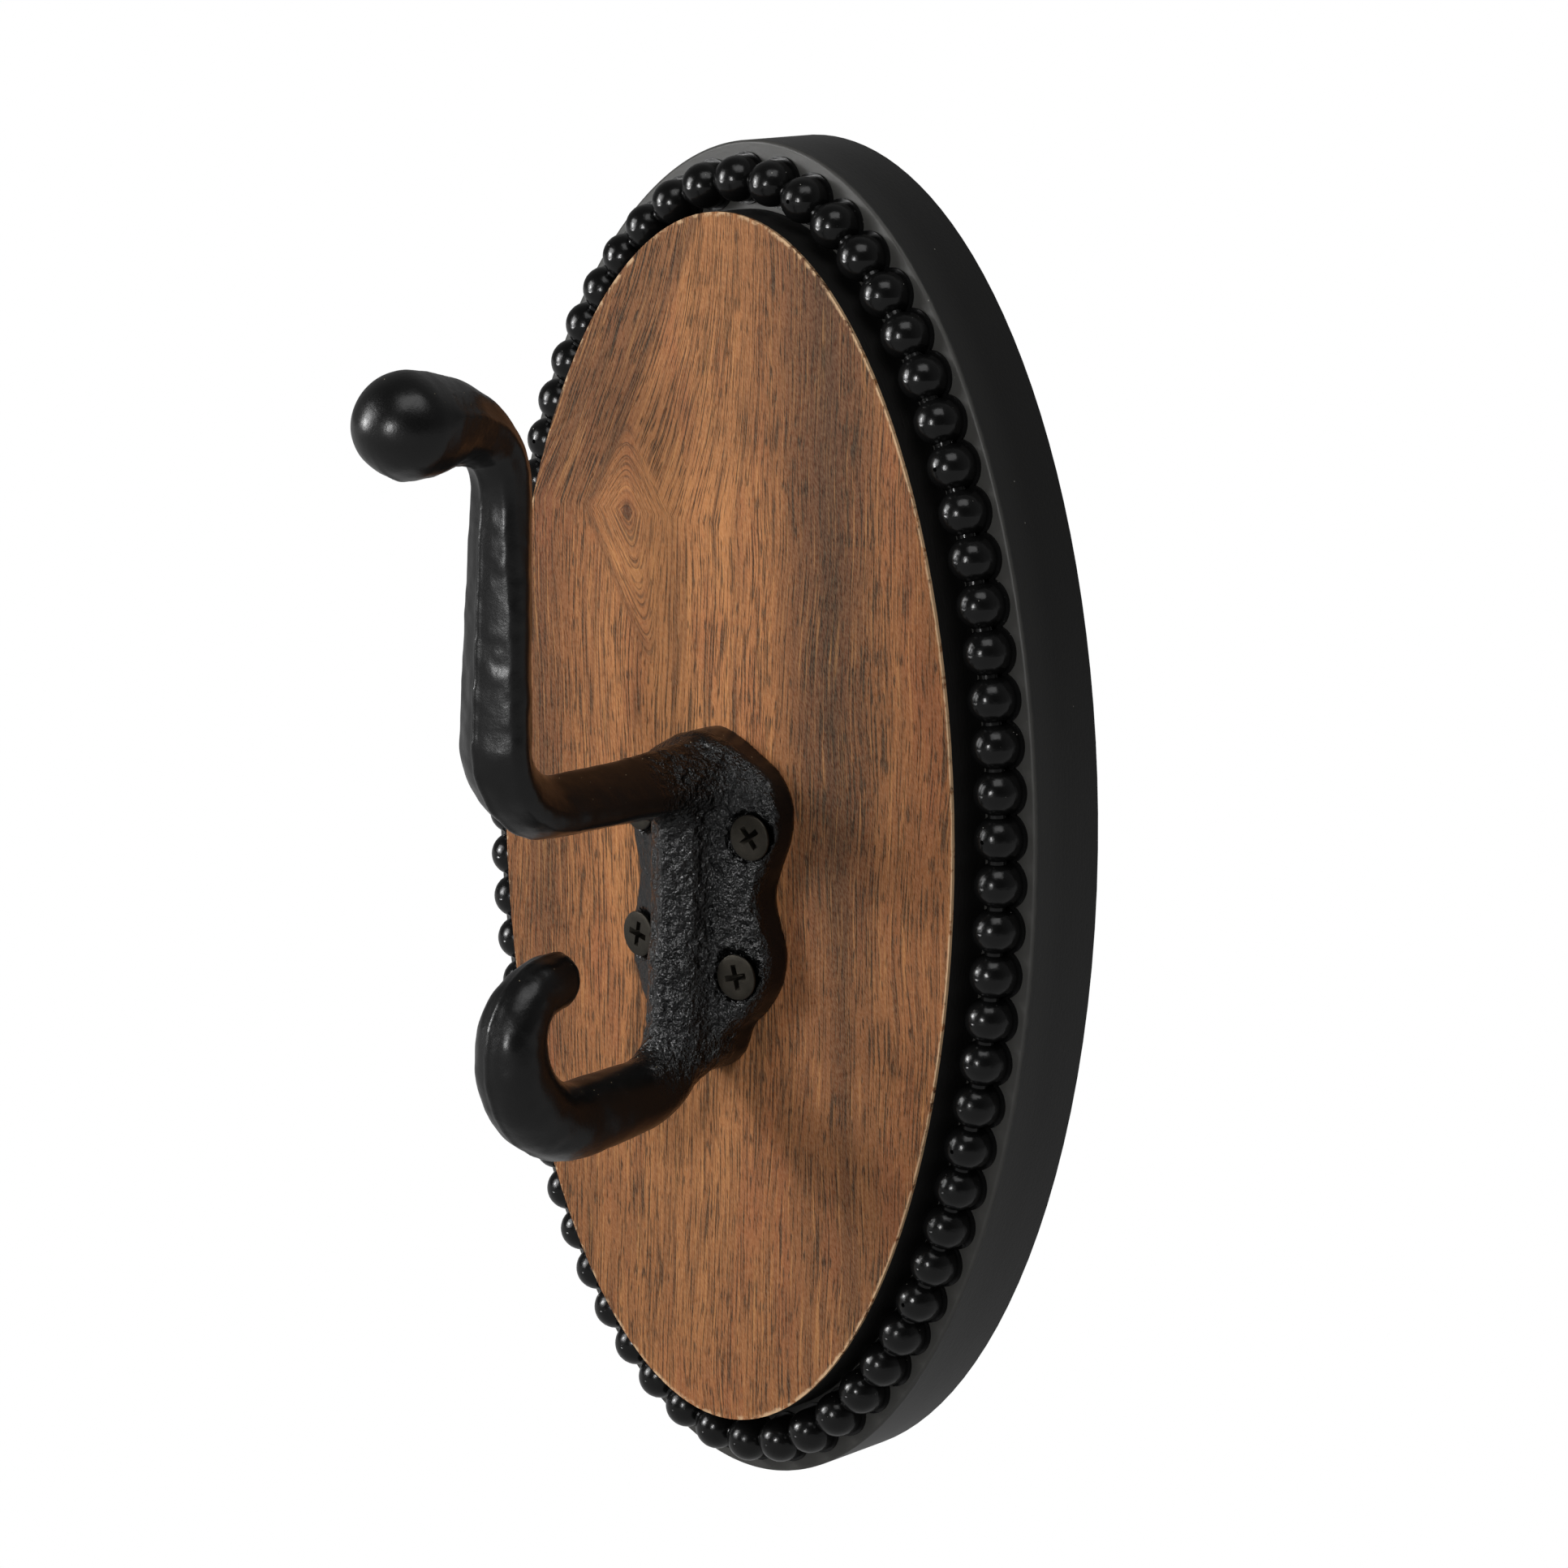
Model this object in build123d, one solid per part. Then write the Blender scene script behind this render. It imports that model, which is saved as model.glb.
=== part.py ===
from build123d import *

import os
from math import cos, hypot, pi, radians, sin

# Wall hook plaque: an oval backing board, a beaded trim round a raised oval panel,
# and a cast double coat hook screwed to the middle of the panel.
#
# Millimetres. +Z is up, +X is to the right of a person facing the plaque, and -Y
# points away from the wall. The origin is the centre of the board's back face.
# Every "height" below is a distance in front of that face, so it is minus Y.

# Backing board
BOARD_HALF_WIDTH = 65.7
BOARD_HALF_HEIGHT = 122.1
BOARD_THICKNESS = 17.0
BOARD_EDGE_RADIUS = 0.6

# Raised panel: a painted core with a sheet of veneer on its face
PANEL_HALF_WIDTH = 54.6
PANEL_HALF_HEIGHT = 110.1
CORE_THICKNESS = 8.3
VENEER_THICKNESS = 0.6
PANEL_FACE = BOARD_THICKNESS + CORE_THICKNESS + VENEER_THICKNESS

# Beaded trim, one moulded strip bent round the panel
BEAD_COUNT = 70
BEAD_RADIUS = 4.08
BEAD_RING_HALF_WIDTH = 59.45
BEAD_RING_HALF_HEIGHT = 115.5
BEAD_CENTRE_HEIGHT = 2.7
BEAD_NECK_RADIUS = 1.6
TRIM_FOOT_RADIUS = 4.6
TRIM_FOOT_THICKNESS = 0.5
FIRST_BEAD_PITCHES = -0.344

# Brads that pin the trim to the board, by the bead that each goes through
BRADDED_BEADS = (2, 9, 17, 24, 28, 46, 54, 61)
BRAD_RADIUS = 0.4
BRAD_LENGTH = 15.0
BRAD_SUNK = 0.8

# Hook casting: plate, rib, upper prong and lower curl
PLATE_EDGE_THICKNESS = 5.0
PLATE_CROWN_THICKNESS = 9.6
PLATE_HALF_WIDTH = 18.2
RIB_HALF_WIDTH = 5.5
RIB_SHOULDER = 12.2
RIB_RIDGE = 15.2
RIB_BOTTOM = -38.5
RIB_TOP = 14.0
PLATE_EDGE_RADIUS = 1.0
RIB_EDGE_RADIUS = 0.8

# Centre lines of the two arms. Each reach is measured from the panel's face.
PRONG_ROOT_LEVEL = 11.2
PRONG_LEVEL = 10.8
PRONG_FLARE_REACH = 21.0
PRONG_FLARE_RADIUS = 30.0
PRONG_ELBOW_REACH = 55.4
PRONG_ELBOW_RADIUS = 13.0
PRONG_BEND_REACH = 53.0
PRONG_BEND_LEVEL = 75.6
PRONG_BEND_RADIUS = 12.3
NECK_REACH = 66.0
NECK_LEVEL = 79.6
NECK_RADIUS = 12.0
KNOB_REACH = 75.8
KNOB_LEVEL = 80.2
KNOB_TIP = 9.8
CURL_START_LEVEL = -22.0
CURL_HEEL_LEVEL = -44.2
CURL_HEEL_RADIUS = 13.0
CURL_FLOOR_LEVEL = -47.4
CURL_FLOOR_RADIUS = 15.2
CURL_FRONT_REACH = 51.8
CURL_TOP_LEVEL = -20.3
CURL_TOP_RADIUS = 10.2
CURL_END_REACH = 41.0
CURL_TIP = 3.4

# Every screw: a short straight rim on the head, then a cone for each unit of overhang
SCREW_RIM = 0.5
SCREW_CONE_RATIO = 1.2

# Hook screws: countersunk cross-head wood screws, splayed away from the rib.
# Each has its place across and up, and the turn of its cross recess in degrees.
SCREW_HEAD_RADIUS = 4.1
SCREW_SHANK_RADIUS = 2.1
SCREW_LENGTH = 25.0
SCREW_SPLAY = 7.0
SCREW_PROUD = 1.0
SCREW_CLEARANCE = 0.25
HOOK_SCREWS = {
    "upper_right": (14.0, 1.9, 40),
    "upper_left": (-12.7, 3.4, 30),
    "lower_right": (11.8, -23.6, 15),
    "lower_left": (-12.6, -19.9, 80),
}

# Keyhole hangers let into the back of the board
HANGER_HEIGHT = 75.0
HANGER_LENGTH = 40.0
HANGER_WIDTH = 16.0
HANGER_THICKNESS = 1.2
KEYHOLE_ENTRY_RADIUS = 4.1
KEYHOLE_SLOT_RADIUS = 2.1
KEYHOLE_DROP = 4.0
KEYHOLE_RISE = 9.0
HEAD_POCKET_WIDTH = 12.0
HEAD_POCKET_LENGTH = 24.0
HEAD_POCKET_DEPTH = 8.0
HANGER_SCREW_SPACING = 31.0
HANGER_SCREW_HEAD_RADIUS = 3.0
HANGER_SCREW_SHANK_RADIUS = 1.45
HANGER_SCREW_LENGTH = 12.0


def at(x, height, z):
    """A point of the plaque, given its distance in front of the wall."""
    return Vector(x, -height, z)


def oval(half_width, half_height, start, thickness):
    """An upright oval slab, from start to start + thickness in front of the wall."""
    outline = Plane.XZ.offset(start) * Ellipse(half_width, half_height)
    return extrude(outline, amount=thickness)


def rod(base, tip, radius):
    """A round rod from one point to another."""
    direction = tip - base
    return extrude(Plane(base, z_dir=direction) * Circle(radius), amount=direction.length)


def bead_centres():
    """Bead centres, evenly spaced along the oval that they sit on."""
    steps = 7000
    angles = [2 * pi * step / steps for step in range(steps + 1)]
    across = [BEAD_RING_HALF_WIDTH * sin(angle) for angle in angles]
    up = [BEAD_RING_HALF_HEIGHT * cos(angle) for angle in angles]
    travelled = [0.0]
    for step in range(steps):
        gap = hypot(across[step + 1] - across[step], up[step + 1] - up[step])
        travelled.append(travelled[-1] + gap)
    pitch = travelled[-1] / BEAD_COUNT
    centres = []
    for bead in range(BEAD_COUNT):
        wanted = (bead + FIRST_BEAD_PITCHES) * pitch % travelled[-1]
        step = min(range(steps), key=lambda k: abs(travelled[k] - wanted))
        centres.append((across[step], up[step]))
    return centres


def over(centre, height):
    """The point at a bead's centre, given its distance in front of the wall."""
    return at(centre[0], height, centre[1])


def brad_line(centre):
    """Head and point of the brad through one bead."""
    head_height = BOARD_THICKNESS + BEAD_CENTRE_HEIGHT + BEAD_RADIUS - BRAD_SUNK
    return over(centre, head_height), over(centre, head_height - BRAD_LENGTH)


def plate_height(x):
    """Height of the plate's sloping face at a distance from its middle line."""
    slope = (PLATE_CROWN_THICKNESS - PLATE_EDGE_THICKNESS) / (PLATE_HALF_WIDTH - RIB_HALF_WIDTH)
    return PANEL_FACE + PLATE_CROWN_THICKNESS - slope * (abs(x) - RIB_HALF_WIDTH)


def screw_frame(screw):
    """Plane at the middle of a hook screw's head face, its normal out of the head."""
    x, z, _ = screw
    lean = radians(SCREW_SPLAY) * (1 if x > 0 else -1)
    return Plane(
        origin=at(x, plate_height(x) + SCREW_PROUD, z),
        x_dir=(cos(lean), sin(lean), 0),
        z_dir=(sin(lean), -cos(lean), 0),
    )


def countersunk_profile(head_radius, shank_radius, length, clearance):
    """Half section of a countersunk screw, its head face on the axis at the origin."""
    head = head_radius + clearance
    shank = shank_radius + clearance
    rim = SCREW_RIM + clearance
    cone = (head - shank) * SCREW_CONE_RATIO
    tip = 3.0 * shank_radius
    top = clearance
    return Polyline(
        (0, top),
        (head, top),
        (head, top - rim - clearance),
        (shank, top - rim - clearance - cone),
        (shank, tip - length),
        (0, -length - clearance),
        close=True,
    )


def countersunk_solid(frame, head_radius, shank_radius, length, clearance=0.0):
    """The body of a countersunk screw, or with a clearance the hole that it needs."""
    profile = countersunk_profile(head_radius, shank_radius, length, clearance)
    turned = revolve(Plane.XZ * make_face(profile), Axis.Z)
    return frame.location * turned


def cross_recess(frame, head_radius, turn):
    """The cross-shaped drive recess of a screw head."""
    span = head_radius * 1.1
    width = span * 0.24
    depth = span * 0.7
    arms = Box(span, width, depth) + Box(width, span, depth)
    return frame.location * Rot(0, 0, turn) * arms


def hook_screw_body(screw, clearance=0.0):
    """A hook screw's body, or with a clearance the hole that it needs."""
    frame = screw_frame(screw)
    return countersunk_solid(
        frame, SCREW_HEAD_RADIUS, SCREW_SHANK_RADIUS, SCREW_LENGTH, clearance
    )


def hook_screw(screw):
    """One hook screw with its drive recess."""
    recess = cross_recess(screw_frame(screw), SCREW_HEAD_RADIUS, screw[2])
    return hook_screw_body(screw) - recess


def hanger_screw_frame(hanger_z, side):
    """Plane at the head of a hanger's upper (+1) or lower (-1) screw."""
    z = hanger_z + side * HANGER_SCREW_SPACING / 2
    return Plane(origin=(0, 0, z), x_dir=(-1, 0, 0), z_dir=(0, 1, 0))


def hanger_screw_body(hanger_z, side, clearance=0.0):
    """A hanger screw's body, flush with the back of the board."""
    frame = hanger_screw_frame(hanger_z, side)
    return countersunk_solid(
        frame,
        HANGER_SCREW_HEAD_RADIUS,
        HANGER_SCREW_SHANK_RADIUS,
        HANGER_SCREW_LENGTH,
        clearance,
    )


def hanger_screw(hanger_z, side):
    """One hanger screw with its drive recess."""
    frame = hanger_screw_frame(hanger_z, side)
    recess = cross_recess(frame, HANGER_SCREW_HEAD_RADIUS, 20 + 35 * side)
    return hanger_screw_body(hanger_z, side) - recess


def hanger_outline(z):
    """The round-ended outline of a keyhole hanger, on the back of the board."""
    return Plane((0, 0, z), x_dir=(1, 0, 0), z_dir=(0, -1, 0)) * SlotOverall(
        HANGER_LENGTH, HANGER_WIDTH, rotation=90
    )


def hanger_plate(z):
    """A stamped steel keyhole hanger."""
    plate = extrude(hanger_outline(z), amount=HANGER_THICKNESS)
    entry = at(0, -1, z - KEYHOLE_DROP)
    plate -= rod(entry, entry + Vector(0, -4, 0), KEYHOLE_ENTRY_RADIUS)
    slot_top = at(0, -1, z - KEYHOLE_DROP + KEYHOLE_RISE)
    plate -= rod(slot_top, slot_top + Vector(0, -4, 0), KEYHOLE_SLOT_RADIUS)
    plate -= Pos(0, 0, z - KEYHOLE_DROP + KEYHOLE_RISE / 2) * Box(
        2 * KEYHOLE_SLOT_RADIUS, 6, KEYHOLE_RISE
    )
    for side in (1, -1):
        plate -= hanger_screw_body(z, side, 0.1)
    return plate


def hanger_pocket(z):
    """What is cut from the board for one hanger: its seat and the screw-head pocket."""
    seat = extrude(hanger_outline(z), amount=HANGER_THICKNESS)
    pocket_face = Plane((0, 0, z + 1), x_dir=(1, 0, 0), z_dir=(0, -1, 0)) * SlotOverall(
        HEAD_POCKET_LENGTH, HEAD_POCKET_WIDTH, rotation=90
    )
    pocket = extrude(pocket_face, amount=HEAD_POCKET_DEPTH)
    holes = [hanger_screw_body(z, side) for side in (1, -1)]
    return [seat, pocket, *holes]


def backing_board(centres):
    """The oval board with its hanger seats and screw holes."""
    board = oval(BOARD_HALF_WIDTH, BOARD_HALF_HEIGHT, 0, BOARD_THICKNESS)
    front_edge = board.edges().group_by(Axis.Y)[0]
    board = fillet(front_edge, BOARD_EDGE_RADIUS)
    cuts = hanger_pocket(HANGER_HEIGHT) + hanger_pocket(-HANGER_HEIGHT)
    cuts += [hook_screw_body(screw) for screw in HOOK_SCREWS.values()]
    for bead in BRADDED_BEADS:
        head, point = brad_line(centres[bead])
        cuts.append(rod(head, point, BRAD_RADIUS))
    return board - cuts


def bead(centre):
    """One bead: a dome on a short straight skirt that stands on the board."""
    profile = (
        Line((0, 0), (BEAD_RADIUS, 0))
        + Line((BEAD_RADIUS, 0), (BEAD_RADIUS, BEAD_CENTRE_HEIGHT))
        + CenterArc((0, BEAD_CENTRE_HEIGHT), BEAD_RADIUS, 0, 90)
        + Line((0, BEAD_CENTRE_HEIGHT + BEAD_RADIUS), (0, 0))
    )
    base = Plane(over(centre, BOARD_THICKNESS), x_dir=(1, 0, 0), z_dir=(0, -1, 0))
    return base.location * revolve(Plane.XZ * make_face(profile), Axis.Z)


def bead_trim(centres):
    """The whole trim: beads, the necks between them and the scalloped foot."""
    base = Plane.XZ.offset(BOARD_THICKNESS)
    foot = [
        extrude(base * Pos(x, z) * Circle(TRIM_FOOT_RADIUS), amount=TRIM_FOOT_THICKNESS)
        for x, z in centres
    ]
    axis_height = BOARD_THICKNESS + BEAD_CENTRE_HEIGHT
    axes = [over(centre, axis_height) for centre in centres]
    necks = [rod(axes[i - 1], axes[i], BEAD_NECK_RADIUS) for i in range(BEAD_COUNT)]
    beads = [bead(centre) for centre in centres]
    trim = foot[0].fuse(*foot[1:], *beads, *necks)
    holes = []
    for number in BRADDED_BEADS:
        head, point = brad_line(centres[number])
        above = head + Vector(0, -2 * BRAD_SUNK, 0)
        holes.append(rod(above, point, BRAD_RADIUS))
    return trim - holes


def panel_layer(start, thickness):
    """One layer of the raised panel, with the hook's screw holes through it."""
    layer = oval(PANEL_HALF_WIDTH, PANEL_HALF_HEIGHT, start, thickness)
    return layer - [hook_screw_body(screw) for screw in HOOK_SCREWS.values()]


def plate_outline():
    """The plate seen from the front: two lobes a side, a waist and a pointed tail."""
    right = Spline(
        (0, 18.2),
        (10.0, 15.4),
        (16.6, 10.6),
        (PLATE_HALF_WIDTH, 4.8),
        (16.9, -2.0),
        (14.3, -9.6),
        (15.6, -15.6),
        (16.8, -21.2),
        (14.6, -28.2),
        (9.4, -34.4),
        (7.2, -38.6),
        tangents=[(1, 0), (-0.45, -1)],
    )
    tail = ThreePointArc((7.2, -38.6), (4.2, -42.6), (0, -43.8))
    half = right + tail
    return make_face(half + half.mirror(Plane.YZ))


def hook_plate():
    """The crowned plate: thick by the rib and thinner at its edge."""
    slab = extrude(Plane.XZ.offset(PANEL_FACE) * plate_outline(), amount=PLATE_CROWN_THICKNESS)
    foot = PANEL_FACE - 1
    side = PLATE_HALF_WIDTH + 1
    edge = PANEL_FACE + PLATE_EDGE_THICKNESS
    crown = PANEL_FACE + PLATE_CROWN_THICKNESS
    roof = Polyline(
        (-side, -foot),
        (-side, -edge),
        (-RIB_HALF_WIDTH, -crown),
        (RIB_HALF_WIDTH, -crown),
        (side, -edge),
        (side, -foot),
        close=True,
    )
    plate = slab & extrude(Plane.XY.offset(-60) * make_face(roof), amount=90)
    front = plate.edges().filter_by(lambda e: e.center().Y < -edge + 1)
    rim = front.filter_by(lambda e: abs(abs(e.center().X) - RIB_HALF_WIDTH) > 0.1)
    return fillet(rim, PLATE_EDGE_RADIUS)


def hook_rib():
    """The rib down the middle of the plate, with a slight ridge along its front."""
    shoulder = PANEL_FACE + RIB_SHOULDER
    section = Polyline(
        (-RIB_HALF_WIDTH, -PANEL_FACE),
        (-RIB_HALF_WIDTH, -shoulder),
        (0, -PANEL_FACE - RIB_RIDGE),
        (RIB_HALF_WIDTH, -shoulder),
        (RIB_HALF_WIDTH, -PANEL_FACE),
        close=True,
    )
    rib = extrude(Plane.XY.offset(RIB_BOTTOM) * make_face(section), amount=RIB_TOP - RIB_BOTTOM)
    front = rib.edges().filter_by(lambda e: e.center().Y < -shoulder + 1)
    return fillet(front, RIB_EDGE_RADIUS)


def arm_section(plane, half_width, roof, wall, dome, scale=1.0):
    """One cross-section of an arm: a low roof outside, short walls and a dome inside."""
    side = half_width * scale
    level = (dome - wall - roof) / 2
    foot = level * scale
    shoulder = (level + wall) * scale
    outline = (
        Line((-side, foot), (-side, shoulder))
        + ThreePointArc((-side, shoulder), (0, (level + wall + roof) * scale), (side, shoulder))
        + Line((side, shoulder), (side, foot))
        + ThreePointArc((side, foot), (0, (level - dome) * scale), (-side, foot))
    )
    return plane * make_face(outline)


def arm(path, sizes, tip):
    """An arm of the casting, lofted along its path and closed by a rounded tip.

    sizes holds the half width, roof, wall and dome at even steps along the path."""
    sections = []
    last = len(sizes) - 1
    for step, size in enumerate(sizes):
        along = path % (step / last)
        plane = Plane(path @ (step / last), x_dir=(1, 0, 0), z_dir=along)
        sections.append(arm_section(plane, *size))
    for angle in (25, 48, 68, 82):
        spot = (path @ 1) + (path % 1) * tip * sin(radians(angle))
        plane = Plane(spot, x_dir=(1, 0, 0), z_dir=path % 1)
        sections.append(arm_section(plane, *sizes[-1], scale=cos(radians(angle))))
    return loft(sections)


def prong_path():
    """Centre line of the upper prong: out from the plate, up, and out to the knob."""
    corners = [
        at(0, PANEL_FACE + 4.0, PRONG_ROOT_LEVEL),
        at(0, PANEL_FACE + PRONG_FLARE_REACH, PRONG_LEVEL),
        at(0, PANEL_FACE + PRONG_ELBOW_REACH, PRONG_LEVEL),
        at(0, PANEL_FACE + PRONG_BEND_REACH, PRONG_BEND_LEVEL),
        at(0, PANEL_FACE + NECK_REACH, NECK_LEVEL),
        at(0, PANEL_FACE + KNOB_REACH, KNOB_LEVEL),
    ]
    radii = [PRONG_FLARE_RADIUS, PRONG_ELBOW_RADIUS, PRONG_BEND_RADIUS, NECK_RADIUS]
    return FilletPolyline(*corners, radius=radii)


def curl_path():
    """Centre line of the lower hook: down from the rib, out, and round in a curl."""
    corners = [
        at(0, PANEL_FACE + 9.6, CURL_START_LEVEL),
        at(0, PANEL_FACE + 11.1, CURL_HEEL_LEVEL),
        at(0, PANEL_FACE + CURL_FRONT_REACH, CURL_FLOOR_LEVEL),
        at(0, PANEL_FACE + CURL_FRONT_REACH, CURL_TOP_LEVEL),
        at(0, PANEL_FACE + CURL_END_REACH, CURL_TOP_LEVEL),
    ]
    radii = [CURL_HEEL_RADIUS, CURL_FLOOR_RADIUS, CURL_TOP_RADIUS]
    return FilletPolyline(*corners, radius=radii)


def upper_prong():
    """The upper prong and its knob."""
    sizes = [
        (7.4, 2.5, 2.5, 7.6),
        (7.3, 2.5, 2.5, 7.1),
        (7.2, 2.5, 2.5, 6.5),
        (7.2, 2.5, 2.5, 6.1),
        (7.2, 2.6, 2.6, 5.8),
        (7.4, 3.1, 2.3, 6.0),
        (7.6, 3.6, 2.1, 6.4),
        (7.2, 3.3, 2.4, 6.3),
        (6.7, 2.9, 2.7, 6.0),
        (6.1, 2.5, 3.3, 5.6),
        (5.4, 2.0, 4.2, 5.0),
        (4.8, 1.5, 5.0, 4.4),
        (5.8, 2.8, 4.5, 4.4),
        (8.1, 5.1, 4.6, 5.9),
        (9.9, 7.6, 4.8, 6.8),
    ]
    return arm(prong_path(), sizes, KNOB_TIP)


def lower_curl():
    """The lower hook's curl."""
    sizes = [
        (5.6, 2.0, 2.4, 4.2),
        (5.7, 2.4, 2.5, 4.4),
        (6.0, 2.8, 2.7, 4.9),
        (6.6, 3.2, 3.0, 5.8),
        (7.1, 3.6, 3.2, 6.3),
        (7.3, 3.8, 3.3, 6.5),
        (7.3, 4.0, 3.4, 6.6),
        (7.1, 3.8, 3.4, 6.4),
        (6.7, 3.6, 3.3, 6.1),
        (6.1, 3.2, 3.2, 5.6),
        (5.4, 2.8, 2.8, 4.9),
        (4.6, 2.6, 2.6, 4.3),
    ]
    return arm(curl_path(), sizes, CURL_TIP)


def hook_casting():
    """The whole hook: one iron casting with four screw holes."""
    casting = hook_plate() + hook_rib()
    casting += upper_prong()
    casting += lower_curl()
    return casting - [hook_screw_body(screw, SCREW_CLEARANCE) for screw in HOOK_SCREWS.values()]


def main():
    os.makedirs("parts", exist_ok=True)
    centres = bead_centres()
    core_start = BOARD_THICKNESS
    nodes = {
        "backing_board": backing_board(centres),
        "bead_trim": bead_trim(centres),
        "panel_core": panel_layer(core_start, CORE_THICKNESS),
        "panel_veneer": panel_layer(core_start + CORE_THICKNESS, VENEER_THICKNESS),
        "hook_casting": hook_casting(),
    }
    for number, bead_index in enumerate(BRADDED_BEADS, start=1):
        nodes[f"trim_brad_{number}"] = rod(*brad_line(centres[bead_index]), BRAD_RADIUS)
    for name, screw in HOOK_SCREWS.items():
        nodes[f"hook_screw_{name}"] = hook_screw(screw)
    for name, z in (("upper", HANGER_HEIGHT), ("lower", -HANGER_HEIGHT)):
        nodes[f"{name}_hanger_plate"] = hanger_plate(z)
        nodes[f"{name}_hanger_screw_top"] = hanger_screw(z, 1)
        nodes[f"{name}_hanger_screw_bottom"] = hanger_screw(z, -1)
    for name, solid in nodes.items():
        export_step(solid, f"parts/{name}.step")


if __name__ == "__main__":
    main()
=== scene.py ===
from math import atan, cos, pi, radians, sin

import bmesh
import bpy
import numpy as np
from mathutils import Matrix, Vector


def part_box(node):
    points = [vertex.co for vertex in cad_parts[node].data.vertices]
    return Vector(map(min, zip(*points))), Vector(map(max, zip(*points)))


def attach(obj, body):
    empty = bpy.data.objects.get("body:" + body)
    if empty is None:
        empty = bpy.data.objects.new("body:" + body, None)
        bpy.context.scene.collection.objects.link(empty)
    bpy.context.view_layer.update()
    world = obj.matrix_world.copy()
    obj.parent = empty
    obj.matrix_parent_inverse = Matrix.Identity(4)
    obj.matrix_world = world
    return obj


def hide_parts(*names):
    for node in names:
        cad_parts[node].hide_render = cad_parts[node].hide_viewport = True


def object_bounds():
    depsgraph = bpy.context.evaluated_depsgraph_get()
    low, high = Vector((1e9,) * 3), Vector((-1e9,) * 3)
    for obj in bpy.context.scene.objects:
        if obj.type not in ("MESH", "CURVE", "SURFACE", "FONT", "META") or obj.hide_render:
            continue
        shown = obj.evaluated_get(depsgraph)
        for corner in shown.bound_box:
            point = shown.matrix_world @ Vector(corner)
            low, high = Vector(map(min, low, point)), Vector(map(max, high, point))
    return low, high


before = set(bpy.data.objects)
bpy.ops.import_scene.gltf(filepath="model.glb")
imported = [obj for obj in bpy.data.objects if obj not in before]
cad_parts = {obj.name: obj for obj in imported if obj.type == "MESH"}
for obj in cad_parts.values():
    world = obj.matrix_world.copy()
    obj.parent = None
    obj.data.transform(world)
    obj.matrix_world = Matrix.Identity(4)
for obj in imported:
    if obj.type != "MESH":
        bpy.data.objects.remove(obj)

import openvdb
from mathutils import Matrix, Vector

# A wall hook plaque. The CAD nodes give every place and size. The casting and the
# screws are rebuilt here at full detail, and every surface gets its finish.
# The frame is +Z up, +X right and -Y away from the wall, in metres. The casting's
# own shape is worked out in millimetres.

MM = 0.001
CAD_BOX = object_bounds()

# Where the camera stands, as seen from the point that it looks at
CAMERA_AZIMUTH = radians(42.38)
CAMERA_ELEVATION = radians(12.15)
CAMERA_ROLL = radians(0.57)
CAMERA_DISTANCE = 0.8772
CAMERA_AIM = Vector((0.00729, -0.017, 0.00812))
CAMERA_LENS = 112.76
SENSOR_WIDTH = 36.0


# ---------------------------------------------------------------- node graphs


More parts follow.
